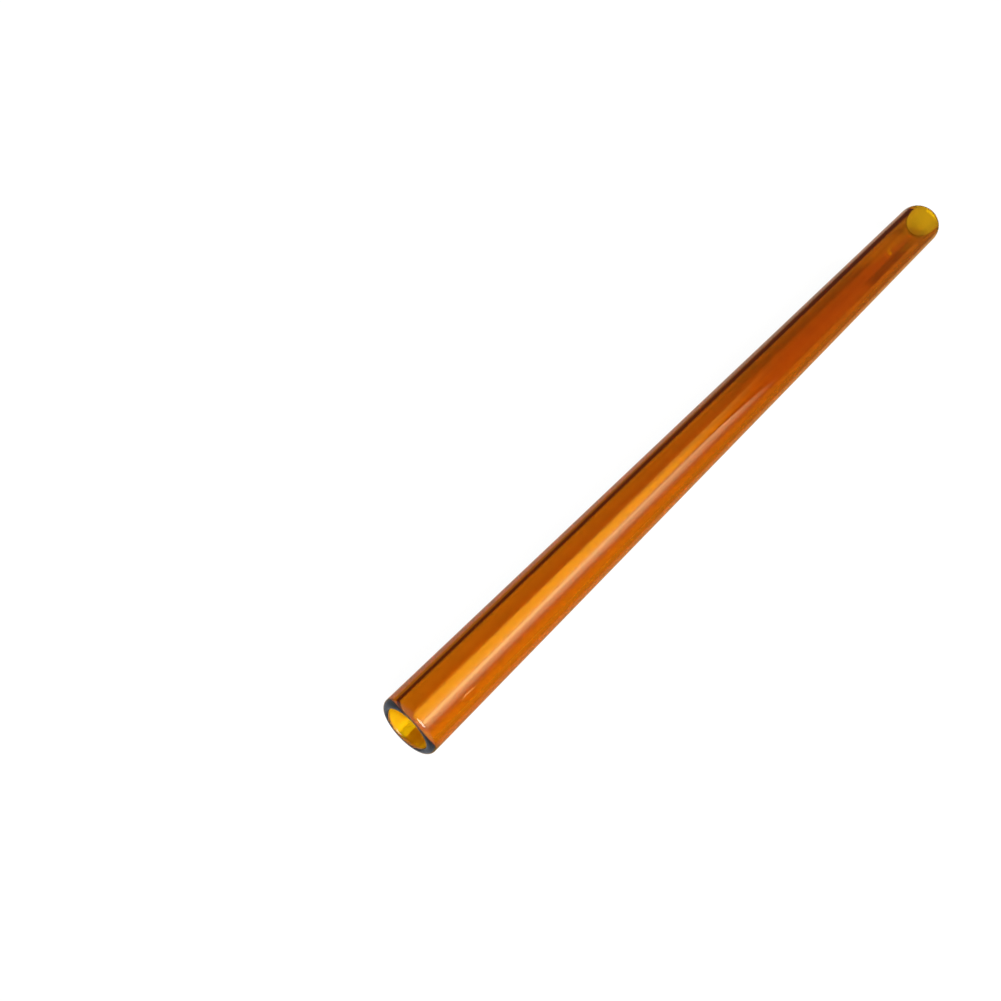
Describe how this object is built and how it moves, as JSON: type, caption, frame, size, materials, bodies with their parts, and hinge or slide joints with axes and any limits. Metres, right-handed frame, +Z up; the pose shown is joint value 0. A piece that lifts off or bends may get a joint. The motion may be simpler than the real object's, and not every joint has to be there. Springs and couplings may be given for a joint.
{
  "type": "burette tube",
  "caption": "Plain amber glass burette tube, open at both ends with fire-polished rims, for holding light-sensitive liquids.",
  "frame": {"origin": "the point of the ground under the middle of the tube, which lies on its side", "axes": "+Z up; the tube's axis runs along Y, with one open end facing -Y and the other facing +Y"},
  "size_m": [0.011, 0.2, 0.011],
  "materials": {
    "amber_glass": "clear, fire-polished"
  },
  "bodies": {
    "root": {"glass_tube": "amber_glass"}
  },
  "joints": []
}
